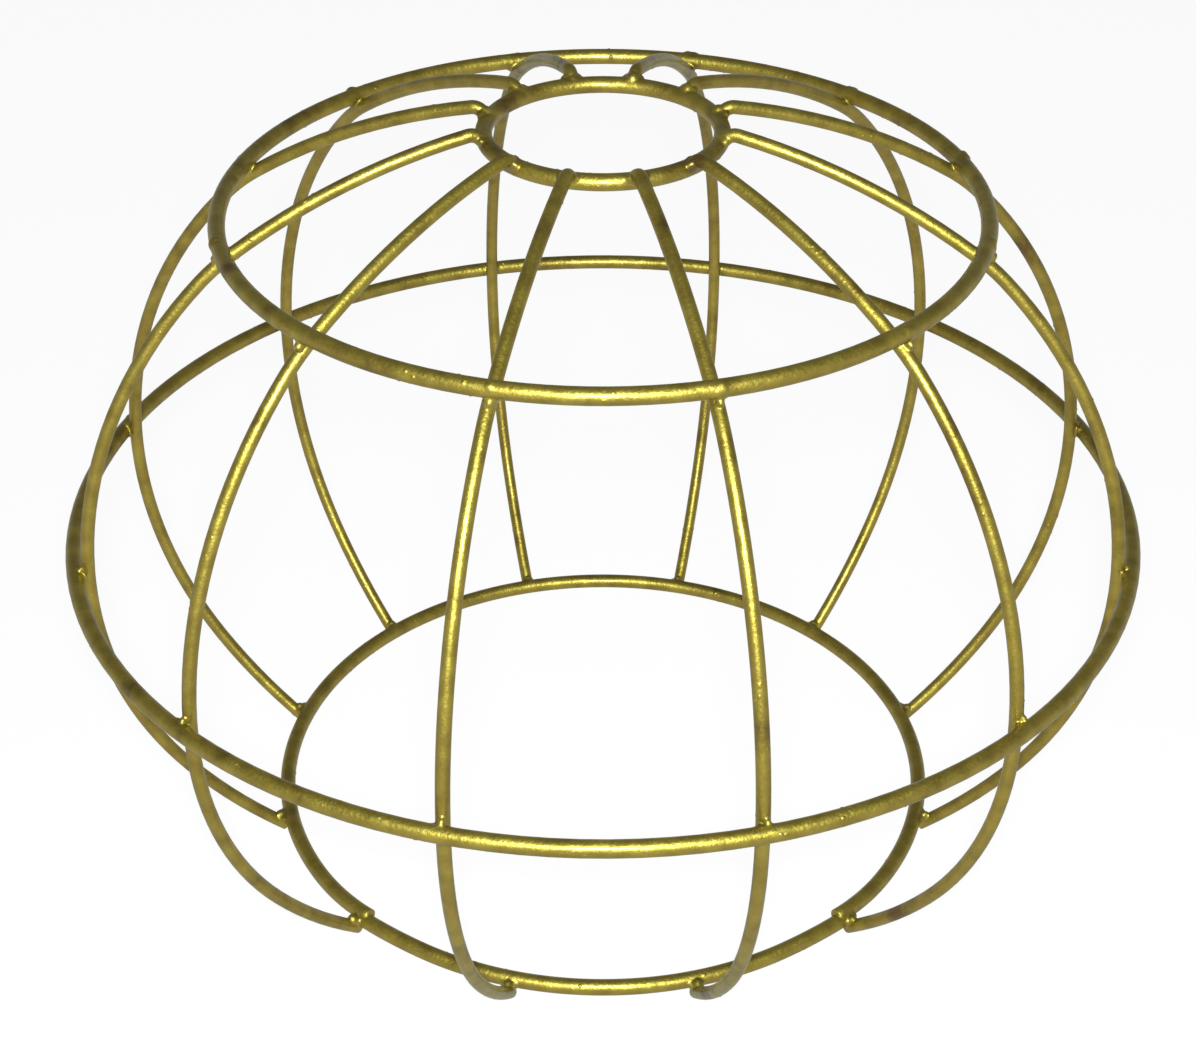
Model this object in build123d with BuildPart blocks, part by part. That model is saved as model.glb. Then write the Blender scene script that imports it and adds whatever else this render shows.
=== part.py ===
"""Wire cage lamp shade.

Four wire rings are held apart by twelve bent ribs, and every crossing is spot welded.
The two hoops run round the outside of the ribs, the bottom ring sits inside them, and
the rib tips turn down onto the small top ring, which takes the collar of a lamp holder.
The shade stands on the cut ends of the ribs, with the middle of its base at the origin.
"""

import os
from math import cos, radians, sin, sqrt

from build123d import *

# Opening of the top ring, for the collar of the lamp holder
holder_opening = 40.7

# Wire stock
ring_wire = 3.2
rib_wire = 2.6

# Ribs, evenly spaced round the axis, with a gap facing the front
rib_count = 12

# Bends of a rib above its widest point, each a radius and the angle it turns through
flank_bend = 89.0
flank_angle = 46.3
shoulder_bend = 38.0
shoulder_angle = 10.5
dome_bend = 128.5
dome_angle = 21.8
tip_bend = 2.4
tip_angle = 58.0
tip_length = 0.6

# Bends of a rib below its widest point
belly_bend = 80.5
belly_angle = 35.0
foot_bend = 108.0
foot_angle = 14.3
tail_length = 0.5

# Height of the middle hoop above the widest point of a rib
hoop_rise = 4.6

# Depth to which one wire is pressed into the other under the welding electrodes
weld_sink = 0.3
tip_sink = 0.5

# Metal squeezed out at a weld: a collar round the contact and a droplet beside it
collar_radius = 2.3
droplet_radius = 0.8
droplet_reach = 2.1
droplet_lift = 0.45
tip_droplet_gap = 0.15
tail_collar_back = 1.5


def run_in(bend, start, end):
    """Distance towards the axis along a bend, whose ends are angles from upright."""
    return bend * (cos(radians(start)) - cos(radians(end)))


def run_up(bend, start, end):
    """Distance up or down along a bend, whose ends are angles from upright."""
    return bend * (sin(radians(end)) - sin(radians(start)))


first_angle = 180 / rib_count
rib_radius = rib_wire / 2
ring_radius = ring_wire / 2
seat = rib_radius + ring_radius - weld_sink
tip_seat = ring_radius - tip_sink
skin = rib_radius - weld_sink / 2

# Angle of a rib from upright where the bends above its widest point start and end
dome_start = flank_angle + shoulder_angle
curl_start = dome_start + dome_angle
tip_lean = curl_start + tip_angle

# Radius of the widest point, which brings the tip of the rib onto the top ring
waist_radius = holder_opening / 2 + ring_radius
waist_radius += run_in(flank_bend, 0, flank_angle)
waist_radius += run_in(shoulder_bend, flank_angle, dome_start)
waist_radius += run_in(dome_bend, dome_start, curl_start)
waist_radius += run_in(tip_bend, curl_start, tip_lean)
waist_radius += (tip_length + tip_seat) * sin(radians(tip_lean))

# Height of the widest point, which stands the cut end of the rib on the ground
tail_lean = belly_angle + foot_angle
waist_height = run_up(belly_bend, 0, belly_angle)
waist_height += run_up(foot_bend, belly_angle, tail_lean)
waist_height += tail_length * cos(radians(tail_lean)) + rib_radius * sin(radians(tail_lean))

os.makedirs("parts", exist_ok=True)

# Centre line of one rib, bent in the plane that holds the axis of the shade
with BuildLine(Plane.XZ) as rib_line:
    flank = JernArc((waist_radius, waist_height), (0, 1), flank_bend, flank_angle)
    shoulder = JernArc(flank @ 1, flank % 1, shoulder_bend, shoulder_angle)
    dome = JernArc(shoulder @ 1, shoulder % 1, dome_bend, dome_angle)
    tip_curl = JernArc(dome @ 1, dome % 1, tip_bend, tip_angle)
    tip = Line(tip_curl @ 1, (tip_curl @ 1) + (tip_curl % 1) * tip_length)
    belly = JernArc((waist_radius, waist_height), (0, -1), belly_bend, -belly_angle)
    foot_curl = JernArc(belly @ 1, belly % 1, foot_bend, -foot_angle)
    tail = Line(foot_curl @ 1, (foot_curl @ 1) + (foot_curl % 1) * tail_length)

# Seat of the top ring, straight below the cut end of a rib tip
top_along = tip % 1
top_centre = (tip @ 1) + top_along * tip_seat

# Seats of the other rings: a point on the rib, the way along it and the way out of the shade
upper_along = shoulder % 1
upper_out = Vector(upper_along.Z, 0, -upper_along.X)
upper_point = shoulder @ 1
upper_centre = upper_point + upper_out * seat

hoop_reach = flank_bend + seat
middle_out = Vector(sqrt(hoop_reach**2 - hoop_rise**2), 0, hoop_rise).normalized()
middle_along = Vector(-middle_out.Z, 0, middle_out.X)
flank_centre = Vector(waist_radius - flank_bend, 0, waist_height)
middle_point = flank_centre + middle_out * flank_bend
middle_centre = middle_point + middle_out * seat

bottom_along = foot_curl % 1
bottom_out = Vector(-bottom_along.Z, 0, bottom_along.X)
bottom_point = foot_curl @ 1
bottom_centre = bottom_point - bottom_out * seat

# Rings, each a length of wire rolled to a circle. The top ring fits the lamp holder, the
# two hoops run round the outside of the ribs, and the bottom ring lies inside their tails.
ring_centres = {
    "top_ring": top_centre,
    "upper_hoop": upper_centre,
    "middle_hoop": middle_centre,
    "bottom_ring": bottom_centre,
}
rings = {}
for ring_name, centre in ring_centres.items():
    with BuildPart() as ring:
        with BuildSketch(Plane.XZ) as ring_section:
            with Locations((centre.X, centre.Z)):
                Circle(ring_radius)
        revolve(axis=Axis.Z)
    ring.part.label = ring_name
    export_step(ring.part, f"parts/{ring_name}.step")
    rings[ring_name] = ring.part

# One rib as bent from straight wire, then with a saddle pressed into it at each ring
with BuildPart() as bent_wire:
    with BuildSketch(Plane(tail @ 1, z_dir=bottom_along)) as rib_section:
        Circle(rib_radius)
    sweep(path=rib_line.wire())

with BuildPart() as rib_form:
    add(bent_wire.part)
    for ring_part in rings.values():
        add(ring_part, mode=Mode.SUBTRACT)

for number in range(rib_count):
    with BuildPart() as rib:
        with Locations(Rotation(0, 0, first_angle * (2 * number + 1))):
            add(rib_form.part)
    rib.part.label = f"rib_{number + 1:02d}"
    export_step(rib.part, f"parts/rib_{number + 1:02d}.step")


def weld_group(name, ring_part, collars, droplets):
    """The welds of all ribs on one ring: blobs of metal, less the two wires they join."""
    with BuildPart() as weld:
        for place in collars:
            with Locations(place):
                Sphere(collar_radius)
        for place in droplets:
            with Locations(place):
                Sphere(droplet_radius)
        add(bent_wire.part, mode=Mode.SUBTRACT)
        add(ring_part, mode=Mode.SUBTRACT)
    with BuildPart() as group:
        with PolarLocations(0, rib_count, start_angle=first_angle):
            add(weld.part)
    group.part.label = name
    export_step(group.part, f"parts/{name}.step")


# Welds at the top ring, a droplet on each side of a rib tip where it ends on the ring
top_crown = top_centre - top_along * ring_radius
rib_side = Vector(0, rib_radius + tip_droplet_gap, 0)
weld_group("top_welds", rings["top_ring"], [], [top_crown + rib_side, top_crown - rib_side])

# Welds at the upper hoop, with a droplet on the rib below the hoop
upper_skin = upper_point + upper_out * skin
upper_drip = upper_skin + upper_out * droplet_lift - upper_along * droplet_reach
weld_group("upper_welds", rings["upper_hoop"], [upper_skin], [upper_drip])

# Welds at the middle hoop, with a droplet on the rib above the hoop
middle_skin = middle_point + middle_out * skin
middle_drip = middle_skin + middle_out * droplet_lift + middle_along * droplet_reach
weld_group("middle_welds", rings["middle_hoop"], [middle_skin], [middle_drip])

# Welds at the bottom ring, on the inner face of a rib just above its cut end
bottom_skin = bottom_point - bottom_out * skin - bottom_along * tail_collar_back
weld_group("bottom_welds", rings["bottom_ring"], [bottom_skin], [])
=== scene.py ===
import random
from math import cos, pi, radians, sin

import bmesh
import bpy
from mathutils import Matrix, Vector, noise
from mathutils.bvhtree import BVHTree


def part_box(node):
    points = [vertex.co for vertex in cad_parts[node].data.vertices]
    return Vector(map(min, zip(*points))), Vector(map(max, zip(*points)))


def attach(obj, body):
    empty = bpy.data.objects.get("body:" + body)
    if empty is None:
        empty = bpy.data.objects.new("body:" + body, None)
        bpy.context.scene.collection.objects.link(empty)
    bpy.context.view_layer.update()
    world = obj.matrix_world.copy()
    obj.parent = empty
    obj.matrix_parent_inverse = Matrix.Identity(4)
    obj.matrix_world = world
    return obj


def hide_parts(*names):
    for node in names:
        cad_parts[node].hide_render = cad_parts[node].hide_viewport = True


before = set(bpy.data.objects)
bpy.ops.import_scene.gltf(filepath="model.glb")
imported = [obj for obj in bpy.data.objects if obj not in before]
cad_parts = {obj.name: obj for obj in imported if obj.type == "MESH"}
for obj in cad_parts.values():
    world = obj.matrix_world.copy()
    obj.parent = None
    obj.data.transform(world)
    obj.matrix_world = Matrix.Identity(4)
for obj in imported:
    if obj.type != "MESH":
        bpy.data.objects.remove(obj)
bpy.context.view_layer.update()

# Top ring, upper hoop and middle hoop: round steel wire, each length rolled to a circle
# and closed. The finished cage is sprayed with old-gold metallic paint, which dries to a
# fine grain over slow lumps and is thin and brown in patches.
mm = 0.001
paint_light = (0.28, 0.206, 0.038)
paint_dark = (0.195, 0.138, 0.025)
paint_thin = (0.12, 0.071, 0.018)
paint_metal = 0.92
paint_edge = (0.55, 0.66, 0.78)
coat_share = 0.13
coat_roughness = 0.2
roughness_low = 0.4
roughness_high = 0.52
grain_scale = 1700.0
grain_detail = 3.0
grain_height = 0.08 * mm
lump_scale = 260.0
lump_detail = 2.0
noise_low = 0.3
noise_high = 0.7
patch_scale = 75.0
patch_detail = 6.0
patch_edge = 0.58
patch_middle = 0.74
patch_depth = 0.45


def gold_paint(name, lump_height):
    """Metallic spray paint over wire, with lumps of the given height."""
    material = bpy.data.materials.new(name)
    material.use_nodes = True
    nodes = material.node_tree.nodes
    join = material.node_tree.links.new
    shader = nodes["Principled BSDF"]
    shader.inputs["Metallic"].default_value = paint_metal
    shader.inputs["Specular Tint"].default_value = (*paint_edge, 1.0)
    shader.inputs["Coat Weight"].default_value = coat_share
    shader.inputs["Coat Roughness"].default_value = coat_roughness
    place = nodes.new("ShaderNodeTexCoord").outputs["Object"]

    def speckle(scale, detail):
        texture = nodes.new("ShaderNodeTexNoise")
        texture.inputs["Scale"].default_value = scale
        texture.inputs["Detail"].default_value = detail
        join(place, texture.inputs["Vector"])
        return texture.outputs["Fac"]

    def spread(value, from_low, from_high, to_low, to_high):
        scaled = nodes.new("ShaderNodeMapRange")
        scaled.inputs["From Min"].default_value = from_low
        scaled.inputs["From Max"].default_value = from_high
        scaled.inputs["To Min"].default_value = to_low
        scaled.inputs["To Max"].default_value = to_high
        join(value, scaled.inputs["Value"])
        return scaled.outputs["Result"]

    grain = speckle(grain_scale, grain_detail)
    lumps = speckle(lump_scale, lump_detail)
    patches = spread(speckle(patch_scale, patch_detail), patch_edge, patch_middle, 0.0, patch_depth)

    cover = nodes.new("ShaderNodeMath")
    cover.operation = "SUBTRACT"
    join(lumps, cover.inputs[0])
    join(patches, cover.inputs[1])
    tone = nodes.new("ShaderNodeValToRGB")
    stops = tone.color_ramp.elements
    stops[0].color = (*paint_thin, 1.0)
    stops[1].color = (*paint_light, 1.0)
    stops[1].position = noise_high
    stops.new(noise_low).color = (*paint_dark, 1.0)
    join(cover.outputs["Value"], tone.inputs["Fac"])
    join(tone.outputs["Color"], shader.inputs["Base Color"])
    gloss = spread(grain, noise_low, noise_high, roughness_low, roughness_high)
    join(gloss, shader.inputs["Roughness"])

    lump_bump = nodes.new("ShaderNodeBump")
    lump_bump.inputs["Distance"].default_value = lump_height
    join(lumps, lump_bump.inputs["Height"])
    grain_bump = nodes.new("ShaderNodeBump")
    grain_bump.inputs["Distance"].default_value = grain_height
    join(grain, grain_bump.inputs["Height"])
    join(lump_bump.outputs["Normal"], grain_bump.inputs["Normal"])
    join(grain_bump.outputs["Normal"], shader.inputs["Normal"])
    return material


wire_paint = gold_paint("wire_paint", lump_height=0.2 * mm)
hoop_names = ("top_ring", "upper_hoop", "middle_hoop")
ring_meshes = {name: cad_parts[name].data for name in hoop_names}
for hoop_mesh in ring_meshes.values():
    hoop_mesh.materials.clear()
    hoop_mesh.materials.append(wire_paint)

# Bottom ring: two lengths of the same wire, a short one in front and a long one behind.
# Their square-cut ends lap beside two of the ribs, the back one higher and further in
# than the front one, and each eases into line over its last two centimetres.
joint_bearing = 45.0
joint_step_in = 0.45 * mm
joint_step_down = 0.45 * mm
joint_ease = 14.0
back_overlap = 1.6
front_overlap = 0.8
ring_steps = 180
bar_sides = 24
end_round = 0.2 * mm


def add_bar(mesh, points, radius):
    """Adds a closed bar along a nearly level line, with its end edges a little rounded."""
    up = Vector((0.0, 0.0, 1.0))
    first = (points[1] - points[0]).normalized() * end_round
    last = (points[-1] - points[-2]).normalized() * end_round
    line = [points[0], points[0] + first, *points[1:-1], points[-1] - last, points[-1]]
    turns = [2 * pi * side / bar_sides for side in range(bar_sides)]
    hoops = []
    for index, point in enumerate(line):
        is_end = index in (0, len(line) - 1)
        size = radius - end_round if is_end else radius
        before = line[max(index - 1, 0)]
        after = line[min(index + 1, len(line) - 1)]
        across = (after - before).normalized().cross(up)
        spokes = [(across * cos(turn) + up * sin(turn)) * size for turn in turns]
        hoops.append([mesh.verts.new(point + spoke) for spoke in spokes])
    for low, high in zip(hoops, hoops[1:]):
        for side in range(bar_sides):
            following = (side + 1) % bar_sides
            mesh.faces.new((low[side], low[following], high[following], high[side]))
    mesh.faces.new(hoops[0])
    mesh.faces.new(hoops[-1])


def add_piece(name, mesh, material):
    """Turns a bmesh into a smooth painted piece that rides on the cage."""
    bmesh.ops.recalc_face_normals(mesh, faces=mesh.faces)
    piece_mesh = bpy.data.meshes.new(name)
    mesh.to_mesh(piece_mesh)
    mesh.free()
    piece_mesh.shade_smooth()
    piece_mesh.materials.append(material)
    piece = bpy.data.objects.new(name, piece_mesh)
    bpy.context.scene.collection.objects.link(piece)
    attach(piece, "root")
    return piece


def wire_centre(ring_name):
    """Distance of a ring's wire from the axis, its height, and the wire's own radius."""
    low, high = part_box(ring_name)
    radius = (high.z - low.z) / 2
    return high.x - radius, high.z - radius, radius


ring_reach, ring_height, ring_wire_radius = wire_centre("bottom_ring")
front_bearing = -90.0
front_half = joint_bearing + front_overlap
back_half = 180.0 - joint_bearing + back_overlap
bottom_mesh = bmesh.new()
ring_lengths = [(front_bearing, front_half, 1.0), (-front_bearing, back_half, -1.0)]
for middle_bearing, half, way in ring_lengths:
    ring_line = []
    for step in range(ring_steps + 1):
        from_middle = half * (2 * step / ring_steps - 1)
        from_end = (half - abs(from_middle)) / joint_ease
        shift = way * max(0.0, 1.0 - from_end) ** 2
        bearing = radians(middle_bearing + from_middle)
        reach = ring_reach + joint_step_in * shift
        height = ring_height - joint_step_down * shift
        ring_line.append(Vector((reach * cos(bearing), reach * sin(bearing), height)))
    add_bar(bottom_mesh, ring_line, ring_wire_radius)
bottom_ring = add_piece("bottom_ring_wires", bottom_mesh, wire_paint)
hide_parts("bottom_ring")
ring_meshes["bottom_ring"] = bottom_ring.data

# Ribs: twelve thinner steel wires, each bent in one plane and cut square at both ends.
# They are welded across the rings and take the same paint.
rib_count = 12
rib_names = [f"rib_{number:02d}" for number in range(1, rib_count + 1)]
rib_meshes = [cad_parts[name].data for name in rib_names]
for rib_mesh in rib_meshes:
    rib_mesh.materials.clear()
    rib_mesh.materials.append(wire_paint)

# Welds: steel that melted at each crossing when the two wires were pressed together.
# It fills the corners between them as a small fillet, with a drop or two squeezed out,
# and no two welds are quite alike under the paint.
weld_paint = gold_paint("weld_paint", lump_height=0.3 * mm)
weld_reach = 3.4 * mm
weld_voxel = 0.21 * mm
weld_softening = 22
weld_lump_scale = 650.0
weld_lump_height = 0.08 * mm
weld_join = 0.001 * mm
drop_shake = 0.2
drop_fineness = 3
rib_spacing = 2 * pi / rib_count
first_bearing = rib_spacing / 2


def add_length(mesh, wire_mesh, centre, axes):
    """Adds the short length of a wire round a point, cut square to the axes and closed."""
    wire = bmesh.new()
    wire.from_mesh(wire_mesh)
    bmesh.ops.remove_doubles(wire, verts=wire.verts, dist=weld_join)
    for axis in axes:
        for way in (axis, -axis):
            everything = wire.verts[:] + wire.edges[:] + wire.faces[:]
            limit = centre + way * weld_reach
            bmesh.ops.bisect_plane(
                wire, geom=everything, plane_co=limit, plane_no=way, clear_outer=True
            )
    rim = [edge for edge in wire.edges if edge.is_boundary]
    bmesh.ops.holes_fill(wire, edges=rim)
    length = bpy.data.meshes.new("wire_length")
    wire.to_mesh(length)
    wire.free()
    mesh.from_mesh(length)
    bpy.data.meshes.remove(length)


def melt(mesh):
    """Runs the wire lengths and drops of each weld into a soft lump with an uneven skin."""
    bmesh.ops.recalc_face_normals(mesh, faces=mesh.faces)
    rough = bpy.data.meshes.new("rough_welds")
    mesh.to_mesh(rough)
    lumps = bpy.data.objects.new("rough_welds", rough)
    bpy.context.scene.collection.objects.link(lumps)
    fuse = lumps.modifiers.new("fuse", "REMESH")
    fuse.mode = "VOXEL"
    fuse.voxel_size = weld_voxel
    soften = lumps.modifiers.new("soften", "SMOOTH")
    soften.iterations = weld_softening
    graph = bpy.context.evaluated_depsgraph_get()
    soft = bpy.data.meshes.new_from_object(lumps.evaluated_get(graph))
    bpy.data.objects.remove(lumps)
    bpy.data.meshes.remove(rough)
    # The normals are copied first, because moving a vertex makes Blender work them all out again
    normals = [vertex.normal.copy() for vertex in soft.vertices]
    for vertex, normal in zip(soft.vertices, normals):
        swell = noise.noise(vertex.co * weld_lump_scale)
        vertex.co += normal * swell * weld_lump_height
    mesh.clear()
    mesh.from_mesh(soft)
    bpy.data.meshes.remove(soft)


def add_welds(node, ring_name, drops):
    """Welds of all the ribs on one ring. Each drop is its distance out, aside and up from
    the middle of the ring's wire, and its radius, in millimetres."""
    chance = random.Random(node)
    reach, height, _ = wire_centre(ring_name)
    up = Vector((0.0, 0.0, 1.0))
    mesh = bmesh.new()
    for number, rib_mesh in enumerate(rib_meshes):
        bearing = first_bearing + rib_spacing * number
        out = Vector((cos(bearing), sin(bearing), 0.0))
        aside = up.cross(out)
        centre = out * reach + up * height
        for wire_mesh in (ring_meshes[ring_name], rib_mesh):
            add_length(mesh, wire_mesh, centre, axes=(out, aside, up))
        for drop_out, drop_aside, drop_up, drop_radius in drops:
            radius = drop_radius * mm * chance.uniform(1 - drop_shake, 1 + drop_shake)
            shake = Vector([chance.uniform(-drop_shake, drop_shake) for _ in range(3)])
            offset = (out * drop_out + aside * drop_aside + up * drop_up) * mm
            spot = Matrix.Translation(centre + offset + shake * radius)
            bmesh.ops.create_icosphere(mesh, subdivisions=drop_fineness, radius=radius, matrix=spot)
    melt(mesh)
    piece = add_piece(f"{node}_metal", mesh, weld_paint)
    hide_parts(node)


tip_drops = [(1.2, 1.45, 1.2, 0.7), (1.2, -1.45, 1.2, 0.7), (0.4, 0.0, 1.2, 1.2)]
add_welds("top_welds", "top_ring", tip_drops)
upper_drops = [
    (1.2, 0.3, -2.0, 0.8),
    (-0.2, 1.4, -1.3, 0.8),
    (0.4, 0.6, 0.35, 1.35),
    (0.5, -0.6, 0.2, 1.35),
]
add_welds("upper_welds", "upper_hoop", upper_drops)
middle_drops = [(-1.1, 0.3, 1.8, 0.6), (-1.1, -1.3, 0.8, 0.7)]
add_welds("middle_welds", "middle_hoop", middle_drops)
bottom_drops = [(2.3, 0.0, 0.55, 1.0), (1.6, 1.1, 0.0, 0.75), (1.6, -1.1, 0.0, 0.75)]
add_welds("bottom_welds", "bottom_ring", bottom_drops)

# Nibs: drops of paint that dried on the wires as small low domes.
# They lie in loose clusters, more of them on the rings than on the ribs.
nib_radius = (0.5 * mm, 0.85 * mm)
nib_height = (0.05 * mm, 0.12 * mm)
nib_stretch = (0.75, 1.0)
nib_root = 0.03 * mm
nib_evenness = 0.5
nib_hoops = 5
nib_sides = 14
cluster_size = (1, 4)
cluster_spread = 4.0 * mm
ring_cluster_gap = 12.0 * mm
clusters_per_rib = 8


def add_nib(mesh, skin, middle, facing, chance):
    """Adds one low dome of paint, moulded to the wire, unless it would lie over a cut edge."""
    turn = chance.uniform(0.0, 2 * pi)
    height = chance.uniform(*nib_height)
    side = facing.orthogonal().normalized()
    along = side * cos(turn) + facing.cross(side) * sin(turn)
    across = facing.cross(along) * chance.uniform(*nib_stretch)
    radius = chance.uniform(*nib_radius)
    angles = [2 * pi * step / nib_sides for step in range(nib_sides)]
    spokes = [(along * cos(angle) + across * sin(angle)) * radius for angle in angles]
    rim_normals = [skin.find_nearest(middle + spoke)[1] for spoke in spokes]
    if min(normal.dot(facing) for normal in rim_normals) < nib_evenness:
        return
    crown = mesh.verts.new(middle + facing * height)
    hoops = []
    for hoop in range(1, nib_hoops + 1):
        part = hoop / nib_hoops
        rise = height * (1.0 - part**2) ** 2 - nib_root * part
        spots = []
        for spoke in spokes:
            place, normal, _, _ = skin.find_nearest(middle + spoke * part)
            spots.append(mesh.verts.new(place + normal * rise))
        hoops.append(spots)
    for step in range(nib_sides):
        following = (step + 1) % nib_sides
        mesh.faces.new((crown, hoops[0][step], hoops[0][following]))
        for inner, outer in zip(hoops, hoops[1:]):
            mesh.faces.new((inner[step], outer[step], outer[following], inner[following]))
    mesh.faces.new(hoops[-1])


def add_clusters(mesh, wire, count, seed):
    """Scatters clusters of nibs over a wire, by seeded chance."""
    chance = random.Random(seed)
    skin = BVHTree.FromPolygons([v.co for v in wire.vertices], [p.vertices for p in wire.polygons])
    areas = [face.area for face in wire.polygons]
    for face in chance.choices(wire.polygons[:], weights=areas, k=count):
        for _ in range(chance.randint(*cluster_size)):
            stray = Vector([chance.uniform(-cluster_spread, cluster_spread) for _ in range(3)])
            middle, facing, _, _ = skin.find_nearest(face.center + stray)
            add_nib(mesh, skin, middle, facing, chance)


ring_nibs = bmesh.new()
for ring_name, ring_mesh in ring_meshes.items():
    ring_length = 2 * pi * wire_centre(ring_name)[0]
    add_clusters(ring_nibs, ring_mesh, round(ring_length / ring_cluster_gap), ring_name)
add_piece("ring_paint_nibs", ring_nibs, wire_paint)
rib_nibs = bmesh.new()
for rib_number, rib_mesh in enumerate(rib_meshes):
    add_clusters(rib_nibs, rib_mesh, clusters_per_rib, rib_number)
add_piece("rib_paint_nibs", rib_nibs, wire_paint)

# Floor: a wide plain sheet of matt card that the cage stands on.
# It glows nearly white for the picture, and its dim grey still takes a soft shadow.
floor_half = 15.0
floor_grey = 0.05
floor_glow = 0.925
floor_roughness = 0.9
floor_corners = [(-1, -1), (1, -1), (1, 1), (-1, 1)]
floor_points = [(floor_half * x, floor_half * y, 0.0) for x, y in floor_corners]
floor_mesh = bpy.data.meshes.new("floor")
floor_mesh.from_pydata(floor_points, [], [(0, 1, 2, 3)])
card = bpy.data.materials.new("white_card")
card.use_nodes = True
card_shader = card.node_tree.nodes["Principled BSDF"]
card_shader.inputs["Base Color"].default_value = (floor_grey, floor_grey, floor_grey, 1.0)
card_shader.inputs["Roughness"].default_value = floor_roughness
card_shader.inputs["Specular IOR Level"].default_value = 0.0
card_shader.inputs["Emission Color"].default_value = (1.0, 1.0, 1.0, 1.0)
card_shader.inputs["Emission Strength"].default_value = floor_glow
floor_mesh.materials.append(card)
floor = bpy.data.objects.new("floor", floor_mesh)
bpy.context.scene.collection.objects.link(floor)

# Studio: pale walls all round that fade to a dimmer ceiling.
# They are the even soft light that falls on the cage from every side.
wall_level = 0.7
wall_top = 0.1
ceiling_level = 0.25
ceiling_edge = 0.5
studio = bpy.data.worlds.new("studio")
bpy.context.scene.world = studio
studio.use_nodes = True
studio_nodes = studio.node_tree.nodes
studio_join = studio.node_tree.links.new
direction = studio_nodes.new("ShaderNodeTexCoord")
slope = studio_nodes.new("ShaderNodeSeparateXYZ")
studio_join(direction.outputs["Generated"], slope.inputs["Vector"])
fade = studio_nodes.new("ShaderNodeMapRange")
fade.interpolation_type = "SMOOTHSTEP"
fade.inputs["From Min"].default_value = wall_top
fade.inputs["From Max"].default_value = ceiling_edge
fade.inputs["To Min"].default_value = wall_level
fade.inputs["To Max"].default_value = ceiling_level
studio_join(slope.outputs["Z"], fade.inputs["Value"])
studio_join(fade.outputs["Result"], studio_nodes["Background"].inputs["Strength"])
studio_nodes["Background"].inputs["Color"].default_value = (1.0, 1.0, 1.0, 1.0)

# Camera: in front of the shade and above it, looking down on it,
# where the photograph was taken from.
camera_tilt = 33.683
camera_data = bpy.data.cameras.new("camera")
camera_data.sensor_width = 36.0
camera_data.lens = 67.81
camera_data.shift_x = -0.0042
camera_data.clip_start = 0.01
camera = bpy.data.objects.new("camera", camera_data)
camera.location = (0.0, -0.38469, 0.32170)
camera.rotation_euler = (radians(90.0 - camera_tilt), 0.0, 0.0)
bpy.context.scene.collection.objects.link(camera)
bpy.context.scene.camera = camera

# Key light: a small lamp just above the camera, with a faint green tint.
# It draws the long highlights along the wires.
key_tilt = 36.0
key_data = bpy.data.lights.new("key", "AREA")
key_data.shape = "DISK"
key_data.size = 0.05
key_data.energy = 5.8
key_data.color = (0.84, 1.0, 0.86)
key = bpy.data.objects.new("key", key_data)
key.location = (0.0, -0.40, 0.345)
key.rotation_euler = (radians(90.0 - key_tilt), 0.0, 0.0)
bpy.context.scene.collection.objects.link(key)

bpy.context.scene.view_settings.view_transform = "Standard"
